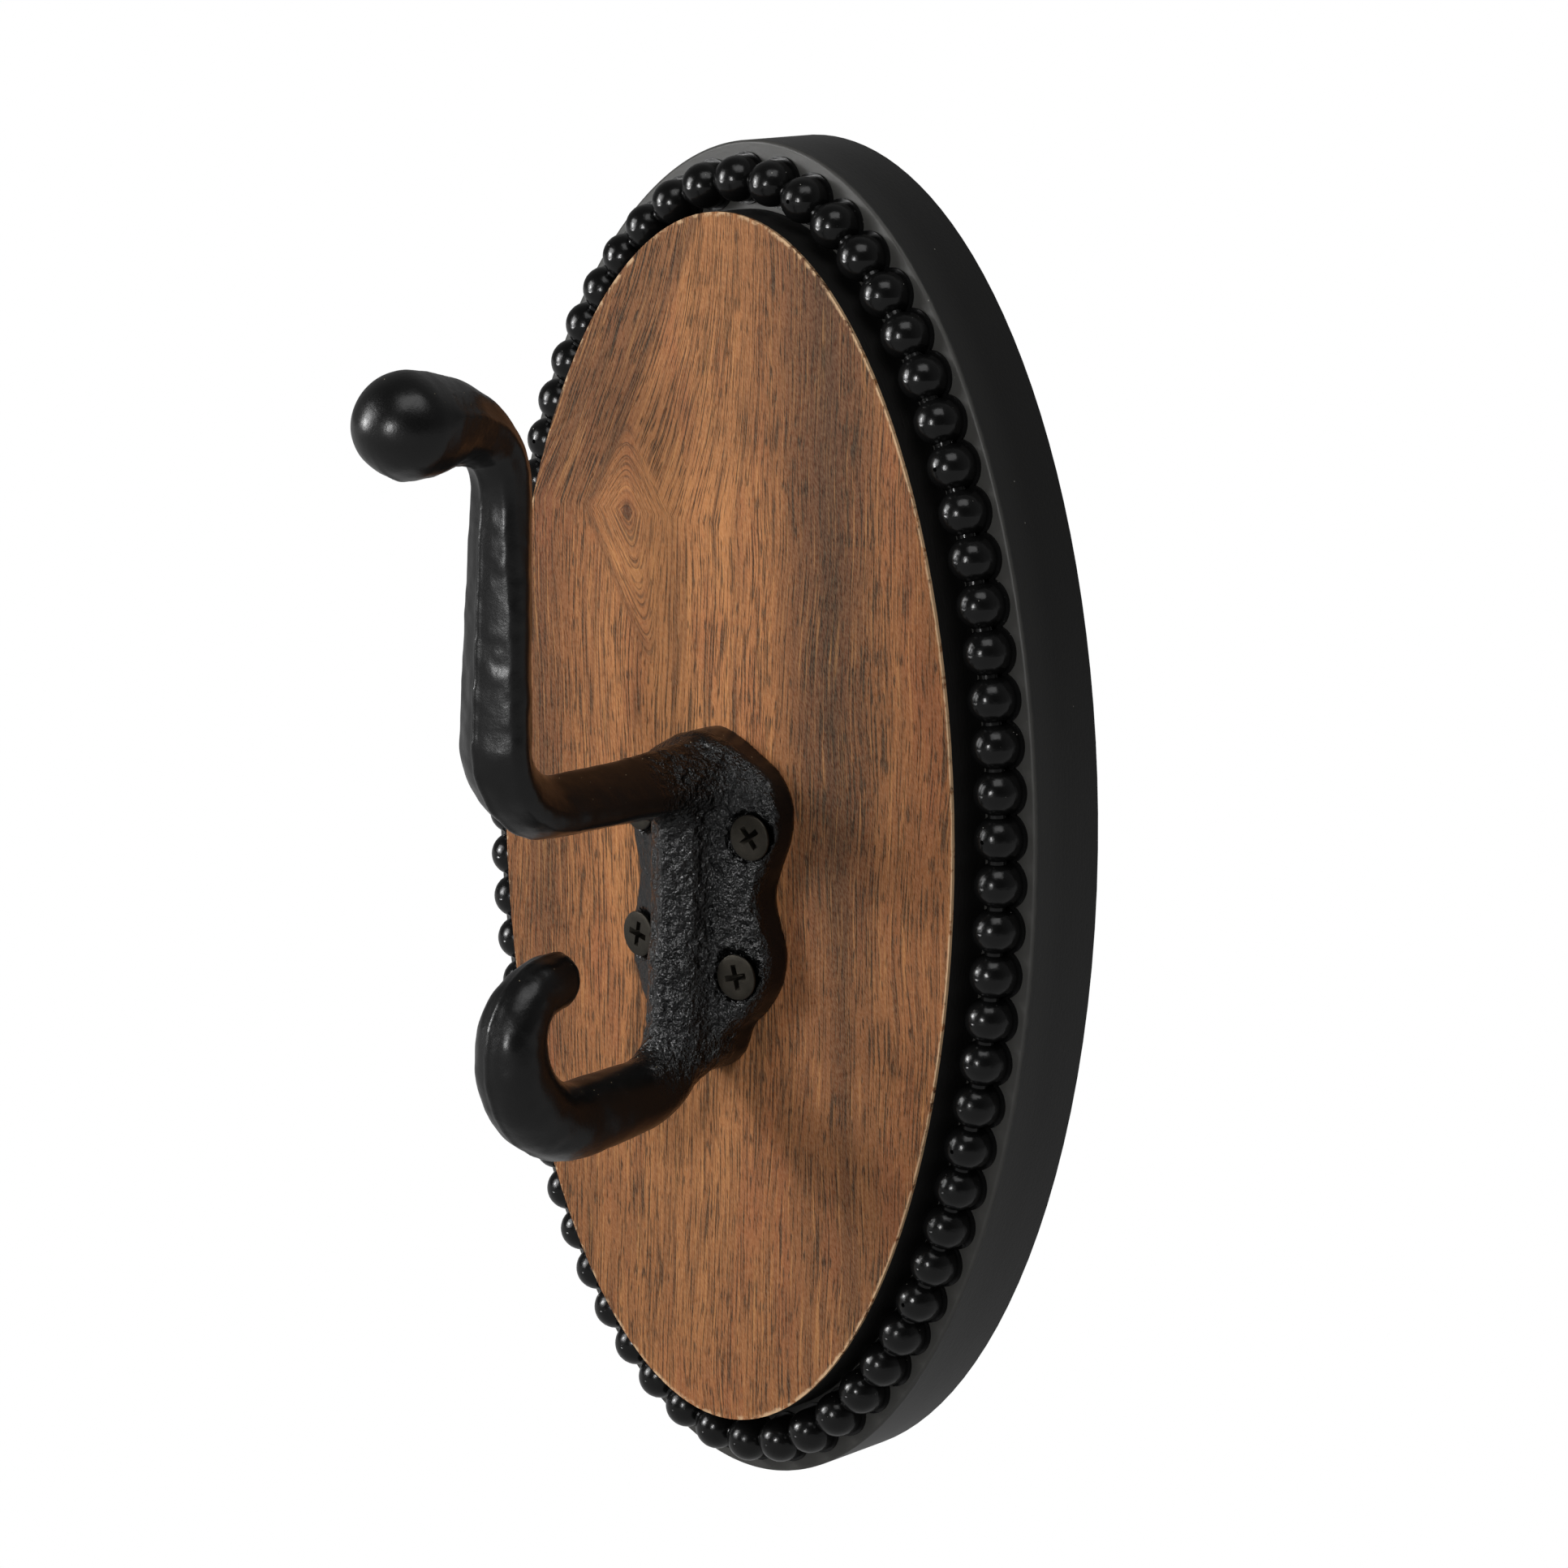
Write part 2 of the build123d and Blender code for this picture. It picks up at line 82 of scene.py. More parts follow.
class Graph:
    """A material's node tree, with short calls for the nodes used here."""

    def __init__(self, name):
        self.material = bpy.data.materials.new(name)
        self.material.use_nodes = True
        self.tree = self.material.node_tree
        self.tree.nodes.clear()

    def put(self, socket, value):
        """Sets an input from a number, a tuple or another node's output."""
        if isinstance(value, bpy.types.NodeSocket):
            self.tree.links.new(value, socket)
        else:
            socket.default_value = value

    def node(self, kind, inputs=None, **settings):
        made = self.tree.nodes.new(kind)
        for key, value in settings.items():
            setattr(made, key, value)
        for key, value in (inputs or {}).items():
            self.put(made.inputs[key], value)
        return made

    def math(self, operation, a, b=0.0, c=0.0, clamp=False):
        made = self.node("ShaderNodeMath", operation=operation, use_clamp=clamp)
        for socket, value in zip(made.inputs, (a, b, c)):
            self.put(socket, value)
        return made.outputs[0]

    def add(self, a, b):
        return self.math("ADD", a, b)

    def sub(self, a, b):
        return self.math("SUBTRACT", a, b)

    def mul(self, a, b):
        return self.math("MULTIPLY", a, b)

    def smooth(self, value, low, high):
        """0 below low, 1 above high, and a smooth step between. It falls if low > high."""
        flip = low > high
        made = self.node("ShaderNodeMapRange", interpolation_type="SMOOTHSTEP")
        self.put(made.inputs["Value"], value)
        made.inputs["From Min"].default_value = min(low, high)
        made.inputs["From Max"].default_value = max(low, high)
        made.inputs["To Min"].default_value = 1.0 if flip else 0.0
        made.inputs["To Max"].default_value = 0.0 if flip else 1.0
        return made.outputs["Result"]

    def position(self):
        """The point's place in millimetres, as a vector and as its three parts."""
        place = self.node("ShaderNodeTexCoord").outputs["Object"]
        to_mm = (1 / MM,) * 3
        scaled = self.node("ShaderNodeVectorMath", {0: place, 1: to_mm}, operation="MULTIPLY")
        parts = self.node("ShaderNodeSeparateXYZ", {0: scaled.outputs[0]})
        return scaled.outputs[0], *parts.outputs

    def vector(self, x, y, z):
        return self.node("ShaderNodeCombineXYZ", {0: x, 1: y, 2: z}).outputs[0]

    def noise(self, vector, scale, detail=2.0, rough=0.5):
        made = self.node("ShaderNodeTexNoise", {"Vector": vector})
        made.inputs["Scale"].default_value = scale
        made.inputs["Detail"].default_value = detail
        made.inputs["Roughness"].default_value = rough
        return made.outputs[0]

    def mix(self, amount, a, b):
        """The colour part of the way from a to b."""
        made = self.node("ShaderNodeMix", data_type="RGBA")
        self.put(made.inputs[0], amount)
        self.put(made.inputs[6], a)
        self.put(made.inputs[7], b)
        return made.outputs[2]

    def ramp(self, value, stops):
        """Colours at places from 0 to 1, with straight blends between them."""
        made = self.node("ShaderNodeValToRGB", {0: value})
        band = made.color_ramp
        while len(band.elements) > 1:
            band.elements.remove(band.elements[0])
        band.elements[0].position, band.elements[0].color = stops[0]
        for place, colour in stops[1:]:
            band.elements.new(place).color = colour
        return made.outputs[0]

    def bump(self, height, distance, strength=1.0, normal=None):
        made = self.node("ShaderNodeBump", {"Height": height})
        made.inputs["Distance"].default_value = distance
        self.put(made.inputs["Strength"], strength)
        if normal is not None:
            self.put(made.inputs["Normal"], normal)
        return made.outputs[0]

    def finish(self, colour, roughness, normal=None, **constants):
        """Ends the graph in one Principled shader. Constants go on its own sockets."""
        shader = self.node("ShaderNodeBsdfPrincipled")
        self.put(shader.inputs["Base Color"], colour)
        self.put(shader.inputs["Roughness"], roughness)
        if normal is not None:
            self.put(shader.inputs["Normal"], normal)
        for key, value in constants.items():
            shader.inputs[key.replace("_", " ")].default_value = value
        output = self.node("ShaderNodeOutputMaterial")
        self.tree.links.new(shader.outputs[0], output.inputs[0])
        return self.material


def srgb(red, green, blue):
    """A colour given in display values from 0 to 255, as linear light, opaque."""
    out = []
    for value in (red, green, blue):
        v = value / 255
        out.append(v / 12.92 if v <= 0.04045 else ((v + 0.055) / 1.055) ** 2.4)
    return (*out, 1.0)


def specks(g, place, spacing, size, share):
    """A mask of small round specks: some cells of a grid have one, and most have none."""
    cells = g.node("ShaderNodeTexVoronoi", {"Vector": place, "Scale": 1.0 / spacing})
    near = g.smooth(cells.outputs["Distance"], size / spacing, size / spacing * 0.5)
    pick = g.node("ShaderNodeSeparateXYZ", {0: cells.outputs["Color"]}).outputs[0]
    return g.mul(near, g.math("LESS_THAN", pick, share))


def facing_up(g, low, high):
    """How much the surface faces up, from 0 to 1."""
    normal = g.node("ShaderNodeNewGeometry").outputs["Normal"]
    up = g.node("ShaderNodeSeparateXYZ", {0: normal}).outputs[2]
    return g.smooth(up, low, high)


# ------------------------------------------------------------------ materials


def board_paint():
    """Satin black paint on the board: fine brushing, dust, a painted sheen on the front face
    and the front of the side, and painted shade toward the wall.
    """
    g = Graph("board_paint")
    place, x, y, z = g.position()
    brushed = g.noise(g.vector(g.mul(x, 0.15), g.mul(y, 6.0), g.mul(z, 0.15)), 1.0, 3.0, 0.6)
    cloudy = g.noise(place, 0.05, 3.0)
    dust = g.mul(specks(g, place, 3.0, 0.16, 0.35), facing_up(g, -0.2, 0.6))
    colour = g.mix(cloudy, srgb(13, 13, 13), srgb(19, 19, 18))
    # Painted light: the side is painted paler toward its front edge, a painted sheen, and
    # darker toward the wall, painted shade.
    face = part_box("backing_board")[0].y / MM
    front = g.smooth(y, face + 9.0, face + 1.0)
    colour = g.mix(g.mul(front, 0.7), colour, srgb(34, 34, 33))
    # The front face and a thin band behind its edge are painted paler still: a painted sheen.
    uneven = g.add(y, g.mul(g.noise(place, 0.4, 3.0), 0.5))
    edge = g.smooth(uneven, face + 1.1, face + 0.5)
    colour = g.mix(g.mul(edge, 0.3), colour, srgb(90, 89, 86))
    colour = g.mix(g.mul(dust, 0.7), colour, srgb(150, 148, 142))
    roughness = g.add(0.36, g.mul(brushed, 0.12))
    normal = g.bump(g.add(g.mul(brushed, 0.4), g.mul(g.noise(place, 1.6, 2.0), 0.6)), 0.00004)
    return g.finish(colour, roughness, normal, Specular_IOR_Level=0.22)


def trim_paint():
    """Satin black on the beads, with a faint orange peel and dust on their tops."""
    g = Graph("trim_paint")
    place = g.position()[0]
    peel = g.noise(place, 0.9, 3.0, 0.55)
    dust = g.mul(specks(g, place, 1.2, 0.11, 0.45), facing_up(g, -0.1, 0.7))
    dust = g.mul(dust, g.smooth(g.noise(place, 0.06, 2.0), 0.36, 0.54))
    colour = g.mix(g.mul(dust, 0.8), srgb(11, 11, 11), srgb(180, 178, 170))
    roughness = g.add(0.17, g.mul(g.noise(place, 0.25, 2.0), 0.08))
    normal = g.bump(peel, 0.00005)
    return g.finish(colour, roughness, normal, Specular_IOR_Level=0.27)


def core_paint():
    """Flat black paint on the panel's side."""
    g = Graph("core_paint")
    place, x, y, z = g.position()
    along = g.noise(g.vector(g.mul(x, 0.5), g.mul(y, 3.0), g.mul(z, 0.5)), 1.0, 3.0)
    dust = specks(g, place, 2.6, 0.13, 0.3)
    colour = g.mix(g.mul(dust, 0.5), srgb(13, 12, 11), srgb(130, 126, 118))
    normal = g.bump(along, 0.00008)
    return g.finish(colour, g.add(0.5, g.mul(along, 0.2)), normal, Specular_IOR_Level=0.3)


def grain(g, across, along):
    """Streaks and pores along the grain. across and along are in millimetres.

    Gives coarse streaks, fine streaks and dark pores, each from 0 to 1."""
    coarse = g.noise(g.vector(g.mul(across, 0.42), 3.0, g.mul(along, 0.010)), 1.0, 3.0, 0.6)
    fine = g.noise(g.vector(g.mul(across, 2.1), 7.0, g.mul(along, 0.040)), 1.0, 3.0, 0.6)
    crowd = g.noise(g.vector(g.mul(across, 0.16), 11.0, g.mul(along, 0.018)), 1.0, 2.0)
    long_pores = g.noise(g.vector(g.mul(across, 2.4), 0.0, g.mul(along, 0.075)), 1.0, 1.5, 0.4)
    short_pores = g.noise(g.vector(g.mul(across, 3.2), 5.0, g.mul(along, 0.26)), 1.0, 1.0, 0.4)
    need = g.sub(0.69, g.mul(crowd, 0.24))
    pores = g.math("MULTIPLY", g.sub(long_pores, need), 13.0, clamp=True)
    pits = g.math("MULTIPLY", g.sub(short_pores, g.add(need, 0.02)), 13.0, clamp=True)
    return coarse, fine, g.math("MAXIMUM", pores, pits)


def blend(g, amount, a, b):
    """A number part of the way from a to b."""
    return g.add(a, g.mul(g.sub(b, a), amount))


def veneer_wood():
    """Open-grained brown veneer: broad bands, a small knot with the grain round it,
    dark pores, fine fibres with painted sheen and shade, a pale cut edge, and ends
    that are darker partly from painted shade."""
    g = Graph("veneer_wood")
    place, x, _, z = g.position()
    low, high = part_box("panel_veneer")
    half_width = (high.x - low.x) / 2 / MM
    half_height = (high.z - low.z) / 2 / MM

    # The grain wanders a little, and leans to the right above the knot
    knot_x, knot_z = -23.4, 55.0
    wander = g.noise(g.vector(g.mul(x, 0.022), 0.0, g.mul(z, 0.012)), 1.0, 2.0, 0.5)
    sway = g.mul(g.sub(wander, 0.5), 12.0)
    lean = g.mul(g.math("MAXIMUM", g.sub(z, knot_z), 0.0), g.smooth(x, 14.0, -14.0))
    across = g.sub(g.sub(x, sway), g.mul(lean, 0.42))

    # Round the knot it runs in nested rings that taper to a point below
    dz = g.sub(z, knot_z)
    dx = g.math("MULTIPLY_ADD", g.math("MINIMUM", dz, 0.0), 0.23, g.sub(x, knot_x))
    ring = g.math("SQRT", g.math("MULTIPLY_ADD", dx, dx, 3.0))
    ring = g.math("MULTIPLY_ADD", g.math("MAXIMUM", g.mul(dz, -1.0), 0.0), 0.36, ring)
    ring = g.math("MULTIPLY_ADD", g.math("MAXIMUM", dz, 0.0), 0.62, ring)
    inside = g.smooth(ring, 12.5, 9.0)
    straight = grain(g, across, z)
    curved = grain(g, g.add(ring, g.mul(sway, 0.5)), g.mul(z, 1.4))
    coarse, fine, pores = (blend(g, inside, a, b) for a, b in zip(straight, curved))
    pores = g.mul(pores, g.sub(1.0, g.mul(inside, 0.35)))

    # Broad bands of colour across the panel
    shades = {
        "deep": srgb(60, 32, 19),
        "dark": srgb(88, 51, 29),
        "mid": srgb(129, 79, 45),
        "tan": srgb(150, 96, 56),
        "light": srgb(167, 110, 65),
    }
    share = g.math("MULTIPLY_ADD", g.sub(x, g.mul(sway, 0.5)), 0.5 / half_width, 0.5)
    bands = [
        (0.00, "mid"), (0.09, "dark"), (0.16, "mid"), (0.24, "tan"), (0.36, "light"),
        (0.50, "light"), (0.60, "tan"), (0.68, "mid"), (0.84, "tan"), (0.92, "mid"),
        (1.00, "mid"),
    ]
    colour = g.ramp(share, [(at, shades[name]) for at, name in bands])
    colour = g.mix(g.smooth(z, -10.0, -70.0), colour, g.mix(0.45, colour, shades["tan"]))

    # Both ends are darker, partly the wood's own tone and partly painted shade where the light
    # falls off toward the bottom, and some patches are redder
    ends_tone_and_shade = g.math("MAXIMUM", g.smooth(z, -30.0, -80.0), g.smooth(z, 56.0, 72.0))
    colour = g.mix(g.mul(ends_tone_and_shade, 0.32), colour, shades["dark"])
    ruddy = g.noise(g.vector(g.mul(x, 0.10), 17.0, g.mul(z, 0.022)), 1.0, 3.0, 0.6)
    colour = g.mix(g.mul(g.smooth(ruddy, 0.48, 0.66), 0.40), colour, srgb(134, 72, 44))

    # One dark streak runs the whole height, and is strongest above the middle
    drift = g.math("MULTIPLY_ADD", z, -0.050, 28.2)
    away = g.math("ABSOLUTE", g.sub(g.sub(x, drift), g.mul(g.sub(wander, 0.5), 5.0)))
    wide = g.smooth(away, 17.0, 3.0)
    thin = g.smooth(away, 3.8, 0.8)
    heavy = g.add(0.35, g.mul(g.smooth(z, -60.0, 20.0), 0.65))
    colour = g.mix(g.mul(g.mul(wide, 0.95), heavy), colour, srgb(80, 45, 26))
    core = g.add(0.35, g.mul(heavy, 0.5))
    colour = g.mix(g.mul(g.mul(thin, 0.85), core), colour, shades["deep"])

    # Darker wood above and to the left of the knot, with a dark line along its lower
    # edge, and a darker rim on the left of the rings
    border = g.sub(g.mul(g.sub(x, -32.0), 2.1), g.sub(z, 56.0))
    border = g.add(border, g.mul(g.sub(coarse, 0.5), 14.0))
    corner = g.mul(g.smooth(border, 4.0, -3.0), g.smooth(z, 48.0, 62.0))
    colour = g.mix(g.mul(corner, 0.62), colour, shades["dark"])
    line = g.mul(g.smooth(g.math("ABSOLUTE", border), 5.0, 0.0), g.smooth(z, 52.0, 60.0))
    colour = g.mix(g.mul(line, 0.55), colour, shades["deep"])
    rim = g.smooth(g.math("ABSOLUTE", g.sub(ring, 10.6)), 1.5, 0.2)
    rim = g.mul(rim, g.smooth(dx, 4.0, -4.0))
    colour = g.mix(g.mul(rim, 0.45), colour, shades["dark"])

    # Bundles of dark vessels: thin streaks that run a long way
    bundles = g.noise(g.vector(g.mul(across, 0.95), 13.0, g.mul(z, 0.017)), 1.0, 2.0, 0.6)
    bundles = g.mul(g.smooth(bundles, 0.53, 0.66), g.sub(1.0, inside))
    broken = g.noise(g.vector(g.mul(across, 1.9), 19.0, g.mul(z, 0.09)), 1.0, 2.0, 0.5)
    bundles = g.mul(bundles, g.smooth(broken, 0.38, 0.56))
    colour = g.mix(g.mul(bundles, 0.70), colour, shades["deep"])

    # Streaks along the grain, coarse and fine
    colour = g.mix(g.mul(g.smooth(coarse, 0.46, 0.78), 0.55), colour, shades["dark"])
    colour = g.mix(g.mul(g.smooth(fine, 0.50, 0.72), 0.62), colour, shades["dark"])
    colour = g.mix(g.mul(g.smooth(fine, 0.50, 0.26), 0.42), colour, srgb(198, 142, 84))

    # The knot itself
    off = g.sub(x, knot_x)
    eye = g.math("SQRT", g.math("MULTIPLY_ADD", off, off, g.mul(dz, g.mul(dz, 0.5))))
    colour = g.mix(g.mul(g.smooth(eye, 3.2, 0.6), 0.45), colour, srgb(104, 48, 26))
    colour = g.mix(g.mul(g.smooth(eye, 1.5, 0.6), 0.8), colour, srgb(52, 22, 14))

    # Pores are open and dark, and crowd together in the darker wood
    crowded = g.add(0.80, g.mul(g.math("MAXIMUM", corner, g.mul(wide, heavy)), 0.18))
    colour = g.mix(g.mul(pores, crowded), colour, srgb(38, 21, 13))

    # Fibres: a fine slanting shimmer, painted into the colour as streaks of painted sheen and
    # painted shade
    slant = g.add(g.mul(x, 2.6), g.mul(z, 1.1))
    run = g.sub(g.mul(z, 0.9), g.mul(x, 0.5))
    fibres = g.noise(g.vector(slant, 0.0, run), 1.0, 2.0, 0.7)
    fibre_sheen = g.math("MULTIPLY_ADD", fibres, 1.8, -0.60, clamp=True)
    fibre_painted_shade, fibre_painted_sheen = g.mix(0.16, colour, (0, 0, 0, 1)), g.mix(0.10, colour, (1, 0.78, 0.5, 1))
    colour = g.mix(fibre_sheen, fibre_painted_shade, fibre_painted_sheen)

    # The cut edge is worn pale in places
    rx, rz = g.mul(x, 1.0 / half_width), g.mul(z, 1.0 / half_height)
    radius = g.math("SQRT", g.math("MULTIPLY_ADD", rx, rx, g.mul(rz, rz)))
    chips = g.noise(place, 0.45, 3.0, 0.7)
    edge = g.smooth(g.add(radius, g.mul(g.sub(chips, 0.5), 0.012)), 0.9915, 0.9985)
    edge = g.mul(edge, g.smooth(g.add(chips, g.mul(rx, 0.10)), 0.42, 0.58))
    colour = g.mix(g.mul(edge, 0.8), colour, srgb(186, 156, 122))

    height = g.sub(g.mul(fibres, 0.12), pores)
    normal = g.bump(height, 0.00007)
    roughness = g.add(0.52, g.mul(fibres, 0.14))
    return g.finish(colour, roughness, normal, Specular_IOR_Level=0.08)


def hook_iron():
    """Satin black over cast iron: gritty where the casting is pebbled, dusty on top."""
    g = Graph("hook_iron")
    place = g.position()[0]
    pebbled = g.node("ShaderNodeAttribute", attribute_name="pebbled").outputs["Fac"]
    grit = g.noise(place, 0.95, 2.0, 0.55)
    sand = g.noise(place, 2.4, 2.0, 0.5)
    dust = g.mul(specks(g, place, 1.1, 0.12, 0.35), facing_up(g, 0.5, 0.9))
    colour = g.mix(g.mul(dust, 0.8), srgb(9, 9, 9), srgb(180, 168, 140))
    roughness = g.add(g.sub(0.30, g.mul(pebbled, 0.14)), g.mul(g.sub(sand, 0.5), 0.10))
    coarse = g.bump(grit, 0.0011, g.add(0.03, g.mul(pebbled, 0.97)))
    normal = g.bump(sand, 0.00022, g.add(0.08, g.mul(pebbled, 0.9)), coarse)
    return g.finish(colour, roughness, normal, Specular_IOR_Level=0.33)


def screw_steel():
    """Blackened steel with a thin brown cast."""
    g = Graph("screw_steel")
    place = g.position()[0]
    mottle = g.noise(place, 0.5, 3.0, 0.6)
    colour = g.mix(mottle, srgb(36, 34, 30), srgb(54, 50, 43))
    normal = g.bump(g.noise(place, 4.0, 2.0), 0.00003)
    return g.finish(colour, g.add(0.36, g.mul(mottle, 0.12)), normal, Metallic=0.85)


def brad_steel():
    """Blackened brad wire."""
    g = Graph("brad_steel")
    place = g.position()[0]
    colour = g.mix(g.noise(place, 2.0), srgb(20, 20, 20), srgb(48, 46, 44))
    return g.finish(colour, 0.45, Metallic=0.6)


def zinc(name, tint):
    """Zinc plate on the hangers and their screws, with a soft mottle."""
    g = Graph(name)
    place, x, y, z = g.position()
    cells = g.node("ShaderNodeTexVoronoi", {"Vector": place, "Scale": 0.55}).outputs["Color"]
    mottle = g.node("ShaderNodeSeparateXYZ", {0: cells}).outputs[0]
    shade = (*(0.82 * v for v in tint[:3]), 1.0)
    colour = g.mix(g.mul(mottle, 0.6), tint, shade)
    scratched = g.noise(g.vector(g.mul(x, 4.0), y, g.mul(z, 0.4)), 1.0, 3.0)
    normal = g.bump(scratched, 0.00002)
    return g.finish(colour, g.add(0.28, g.mul(scratched, 0.16)), normal, Metallic=1.0)


# ---------------------------------------------------------------- the casting

# Distances of the casting in millimetres: across is X, out is in front of the
# veneer's face, and up is Z. The casting is a signed distance on a grid, less than 0
# inside it, and its surface is where the distance is 0.
VOXEL = 0.44  # step of the grid
BAND = 2.2  # distances further than this from the surface are clipped

# The plate is thickest beside the rib and slopes down to its edge. Its top droops.
PLATE_EDGE = 5.0
PLATE_CROWN = 9.6
PLATE_HALF_WIDTH = 18.2
PLATE_ROUNDING = 1.1
PLATE_DROOP = 3.2

# The rib stands on the plate's middle, from the tail up to the prong's root
RIB_HALF_WIDTH = 5.6
RIB_SHOULDER = 12.15
RIB_RIDGE = 15.2
RIB_ROUNDING = 0.8
RIB_TOP = 13.0
RIB_TAIL = -40.0
RIB_TAIL_ROUNDING = 2.0

# Fillets where the parts of the casting meet
RIB_FILLET = 1.6
CURL_FILLET = 4.0
PRONG_FILLET = 4.5

# How an arm's roof, dome and tip bulge, as powers: 1 is straight and 2 is round
ROOF_POWER = 1.35
DOME_POWER = 1.65
TIP_POWER = 1.85
ROOF_ROUNDING = 1.4  # radius of the edge between the roof and the side wall
RIDGE_HEIGHT, RIDGE_WIDTH = 0.24, 0.5
SEAM_HEIGHT, SEAM_WIDTH = 0.40, 0.6

# The screws lean in over the plate's slope, in holes with a little room round the head
SCREW_LEAN = radians(7.0)
HOLE_ROOM = 0.35
HOLE_RADIUS = 2.4

# Lumps in the cast surface: height, size and seed
PEBBLES = [(0.32, 1.5, 1), (0.30, 0.95, 2)]
WAVES = [(0.14, 3.6, 3), (0.09, 1.9, 4)]

PATH_STEP = 0.2  # between points along an arm's centre line
ARC_PARTS = 24
CHUNK = 4000  # points of the grid measured at once, which saves memory


def filleted(corners, radii):
    """Points along straight runs joined by tangent arcs, and the length up to each."""
    corners = [np.array(c, float) for c in corners]
    points = [corners[0]]
    for before, corner, after, radius in zip(corners, corners[1:], corners[2:], radii):
        a = (before - corner) / np.linalg.norm(before - corner)
        b = (after - corner) / np.linalg.norm(after - corner)
        half = np.arccos(np.clip(a @ b, -1, 1)) / 2
        reach = radius / np.tan(half)
        middle = corner + (a + b) / np.linalg.norm(a + b) * radius / np.sin(half)
        start, end = corner + a * reach - middle, corner + b * reach - middle
        turn = pi - 2 * half
        for k in range(ARC_PARTS + 1):
            t = k / ARC_PARTS
            arc = (np.sin((1 - t) * turn) * start + np.sin(t * turn) * end) / np.sin(turn)
            points.append(middle + arc)
    points.append(corners[-1])
    line = np.array(points)
    lengths = np.concatenate([[0], np.cumsum(np.linalg.norm(np.diff(line, axis=0), axis=1))])
    wanted = np.arange(0, lengths[-1], PATH_STEP)
    return np.stack([np.interp(wanted, lengths, line[:, k]) for k in range(2)], 1), wanted


def smooth_union(a, b, radius):
    """The union of two solids, with a fillet of about this radius where they meet."""
    near = np.maximum(radius - np.abs(a - b), 0) / radius
    return np.minimum(a, b) - near * near * radius / 4


def rounded_cut(a, b, radius):
    """The common part of two solids, with the edge between them rounded."""
    over_a, over_b = a + radius, b + radius
    corner = np.sqrt(np.maximum(over_a, 0) ** 2 + np.maximum(over_b, 0) ** 2)
    return np.minimum(np.maximum(over_a, over_b), 0) + corner - radius


def plate_outline():
    """The plate's right-hand outline as points (across, up), from its top to its tail."""
    knots = np.array([
        (0, 18.0), (5.2, 17.3), (10.2, 15.2), (14.6, 12.6), (17.3, 9.0), (18.1, 5.0),
        (17.4, 0.6), (15.6, -4.0), (14.3, -8.0), (14.2, -11.0), (15.3, -15.0), (16.6, -18.6),
        (16.8, -21.6), (15.6, -26.2), (12.4, -31.0), (9.5, -33.8), (8.2, -36.6), (7.0, -39.4),
        (4.2, -42.2), (0, -43.7),
    ], float)
    # A curve that passes through every knot
    padded = np.vstack([knots[1] * (-1, 1), knots, knots[-2] * (-1, 1)])
    curve = []
    for a, b, c, d in zip(padded, padded[1:], padded[2:], padded[3:]):
        for t in np.arange(0, 1, 0.1):
            curve.append(0.5 * (2 * b + (c - a) * t + (2 * a - 5 * b + 4 * c - d) * t**2
                                + (3 * b - a - 3 * c + d) * t**3))
    return np.array(curve + [knots[-1]])


def outline_distance(outline, across, up):
    """Signed distance to a closed shape that is the same on both sides of the middle."""
    closed = np.vstack([outline, outline[::-1] * (-1, 1)])
    px, pz = np.meshgrid(across, up, indexing="ij")
    nearest = np.full(px.shape, 1e9)
    inside = np.zeros(px.shape, bool)
    for (x0, z0), (x1, z1) in zip(closed, np.roll(closed, -1, axis=0)):
        ex, ez = x1 - x0, z1 - z0
        squared = ex * ex + ez * ez
        if squared < 1e-12:
            continue
        t = np.clip(((px - x0) * ex + (pz - z0) * ez) / squared, 0, 1)
        nearest = np.minimum(nearest, (px - x0 - t * ex) ** 2 + (pz - z0 - t * ez) ** 2)
        crosses = (z0 > pz) != (z1 > pz)
        if ez != 0:
            inside ^= crosses & (px < x0 + (pz - z0) * ex / ez)
    return np.where(inside, -1, 1) * np.sqrt(nearest)


def level_distance(level):
    """Turns a level set into a distance near its surface."""
    slope = np.gradient(level, VOXEL)
    steep = np.sqrt(slope[0] ** 2 + slope[1] ** 2 + slope[2] ** 2)
    least = 0.35
    return level / np.maximum(steep, least)


